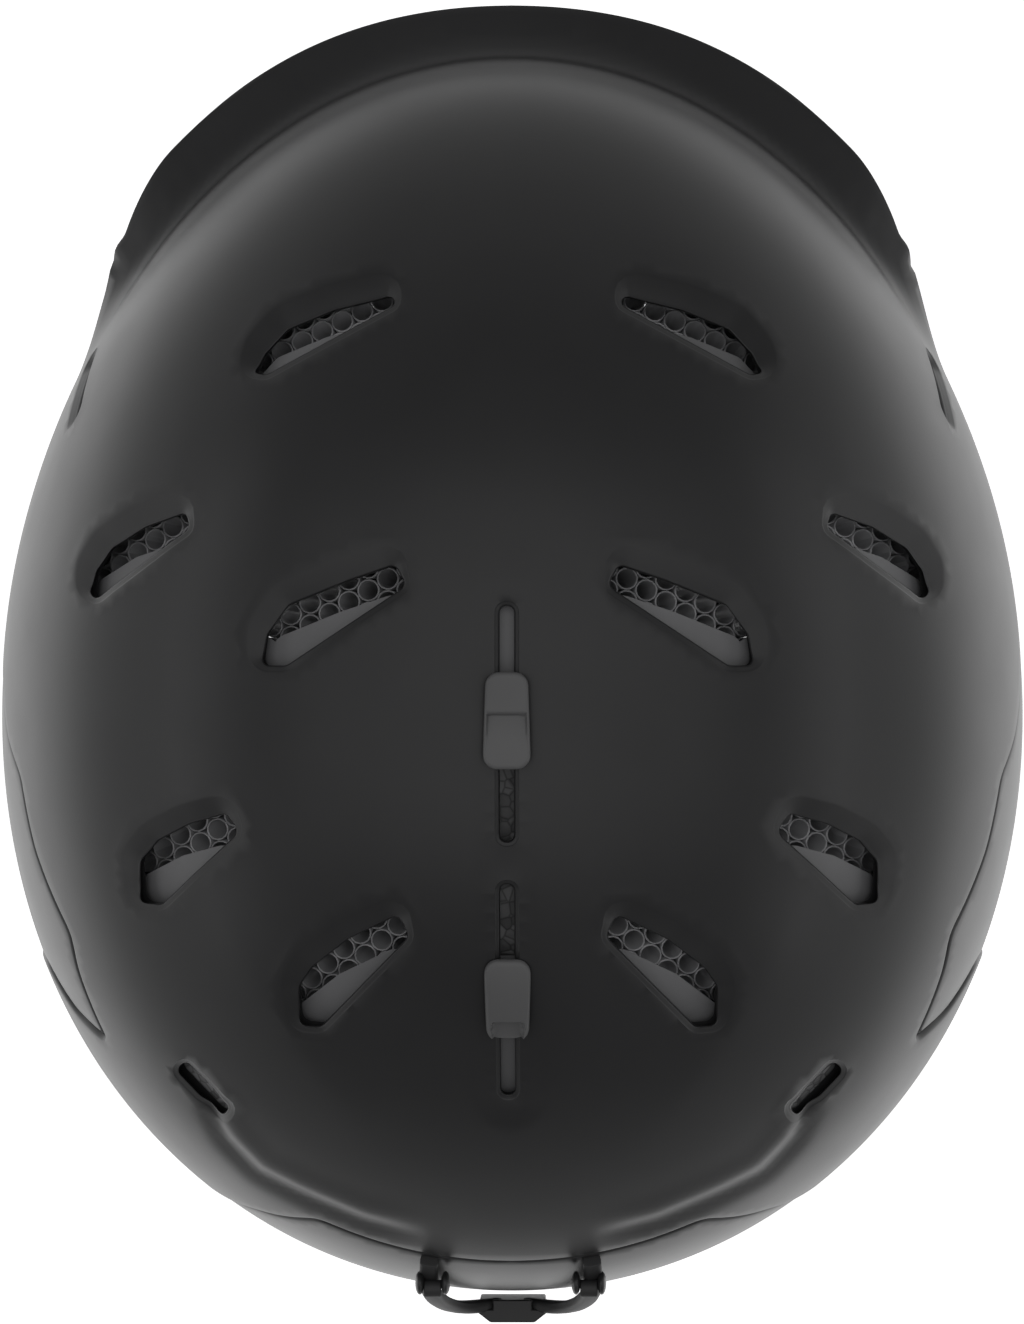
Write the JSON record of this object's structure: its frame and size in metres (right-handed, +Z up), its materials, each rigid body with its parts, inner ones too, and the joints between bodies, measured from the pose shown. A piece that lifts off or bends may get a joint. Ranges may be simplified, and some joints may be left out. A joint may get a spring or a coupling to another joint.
{
  "type": "ski helmet",
  "caption": "Matte black ski helmet with short brim, adjustable honeycomb vents, goggle strap retainer, ear pads, fit dial and buckled chin strap.",
  "frame": {"origin": "below the middle of the helmet, on the plane the ear pads and chin pad stand on", "axes": "front faces -Y, +Z up, wearer's left is +X"},
  "size_m": [0.2266, 0.2918, 0.2202],
  "materials": {
    "shell_black": "matte",
    "shell_lower": "matte",
    "liner_foam": "matte",
    "honeycomb": "satin",
    "pad_fabric": "matte",
    "ear_fabric": "matte",
    "webbing": "matte",
    "fleece": "matte",
    "slider_black": "satin",
    "shutter_grey": "matte",
    "retainer_rubber": "matte",
    "clip_black": "satin",
    "hardware_black": "satin",
    "steel": "satin",
    "fit_nylon": "matte",
    "dial_rubber": "matte",
    "acoustic_mesh": "matte"
  },
  "bodies": {
    "helmet": {"upper_shell": "shell_black", "lower_shell": "shell_lower", "impact_liner": "liner_foam", "honeycomb_left": "honeycomb", "honeycomb_right": "honeycomb", "brow_pad": "pad_fabric", "crown_pad": "pad_fabric", "side_pad_left": "pad_fabric", "side_pad_right": "pad_fabric", "rear_pad": "pad_fabric", "strap_pivot_studs": "steel", "retainer_bases": "hardware_black", "retainer_pins": "steel", "cradle_rail": "fit_nylon", "ear_hinge_lugs_left": "hardware_black", "ear_hinge_pins_left": "steel", "strap_legs_left": "webbing", "strap_anchor_plates_left": "hardware_black", "strap_anchor_rivets_left": "steel", "strap_splitter_left": "hardware_black", "ear_hinge_lugs_right": "hardware_black", "ear_hinge_pins_right": "steel", "strap_legs_right": "webbing", "strap_anchor_plates_right": "hardware_black", "strap_anchor_rivets_right": "steel", "strap_splitter_right": "hardware_black"},
    "front_vent": {"front_vent_shutter": "shutter_grey", "front_vent_slider": "slider_black", "front_slider_screws": "steel"},
    "rear_vent": {"rear_vent_shutter": "shutter_grey", "rear_vent_slider": "slider_black", "rear_slider_screws": "steel"},
    "ear_pad_left": {"ear_pad_left": "ear_fabric", "ear_port_mesh_left": "acoustic_mesh", "ear_pad_plate_left": "fit_nylon"},
    "ear_pad_right": {"ear_pad_right": "ear_fabric", "ear_port_mesh_right": "acoustic_mesh", "ear_pad_plate_right": "fit_nylon"},
    "chin_strap": {"chin_strap_left": "webbing", "chin_strap_right": "webbing", "buckle_socket": "hardware_black", "buckle_tongue": "hardware_black", "chin_pad": "fleece", "strap_keeper": "retainer_rubber"},
    "buckle_button": {"buckle_release_tab": "slider_black"},
    "goggle_retainer": {"retainer_strap": "retainer_rubber", "retainer_clip": "clip_black"},
    "fit_cradle": {"fit_cradle": "fit_nylon", "dial_cover": "fit_nylon", "nape_pad_left": "pad_fabric", "nape_pad_right": "pad_fabric"},
    "fit_dial": {"fit_dial": "dial_rubber", "dial_pinion": "fit_nylon", "dial_cap": "hardware_black"},
    "fit_band_left": {"fit_band_left": "fit_nylon"},
    "fit_band_right": {"fit_band_right": "fit_nylon"}
  },
  "joints": [
    {"name": "front_vent_slide", "type": "hinge", "parent": "helmet", "child": "front_vent", "pos_m": [0, 0.0015, 0.081], "axis": [1, 0, 0], "range_deg": [-2.5, 4.5]},
    {"name": "rear_vent_slide", "type": "hinge", "parent": "helmet", "child": "rear_vent", "pos_m": [0, 0.0015, 0.081], "axis": [1, 0, 0], "range_deg": [-2.5, 4.5]},
    {"name": "ear_pad_left_fold", "type": "hinge", "parent": "helmet", "child": "ear_pad_left", "pos_m": [0.104, 0, 0.0565], "axis": [0, -1, 0], "range_deg": [0, 25]},
    {"name": "ear_pad_right_fold", "type": "hinge", "parent": "helmet", "child": "ear_pad_right", "pos_m": [-0.104, 0, 0.0565], "axis": [0, 1, 0], "range_deg": [0, 25]},
    {"name": "chin_strap_swing", "type": "hinge", "parent": "helmet", "child": "chin_strap", "pos_m": [0, 0.002, 0.013], "axis": [1, 0, 0], "range_deg": [-68, 100]},
    {"name": "buckle_release", "type": "slide", "parent": "chin_strap", "child": "buckle_button", "axis": [-0.4755, -0.8797, 0], "range_m": [0, 0.0035], "stiffness_N_per_m": 200},
    {"name": "goggle_retainer_lift", "type": "hinge", "parent": "helmet", "child": "goggle_retainer", "pos_m": [0, 0.1354, 0.123], "axis": [1, 0, 0], "range_deg": [0, 110]},
    {"name": "fit_height", "type": "slide", "parent": "helmet", "child": "fit_cradle", "axis": [0, 0, 1], "range_m": [-0.006, 0]},
    {"name": "fit_dial_turn", "type": "hinge", "parent": "fit_cradle", "child": "fit_dial", "pos_m": [0, 0.0976, 0.0226], "axis": [0, 0.9063, -0.4226], "range_deg": [0, 160]},
    {"name": "fit_band_left_draw", "type": "hinge", "parent": "fit_cradle", "child": "fit_band_left", "pos_m": [0, 0.026, 0.056], "axis": [0, 0.4226, 0.9063], "range_deg": [0, 8]},
    {"name": "fit_band_right_draw", "type": "hinge", "parent": "fit_cradle", "child": "fit_band_right", "pos_m": [0, 0.026, 0.056], "axis": [0, 0.4226, 0.9063], "range_deg": [-8, 0]}
  ],
  "couplings": [
    {"joint": "fit_band_left_draw", "follows": "fit_dial_turn", "ratio": 0.05},
    {"joint": "fit_band_right_draw", "follows": "fit_dial_turn", "ratio": -0.05}
  ]
}
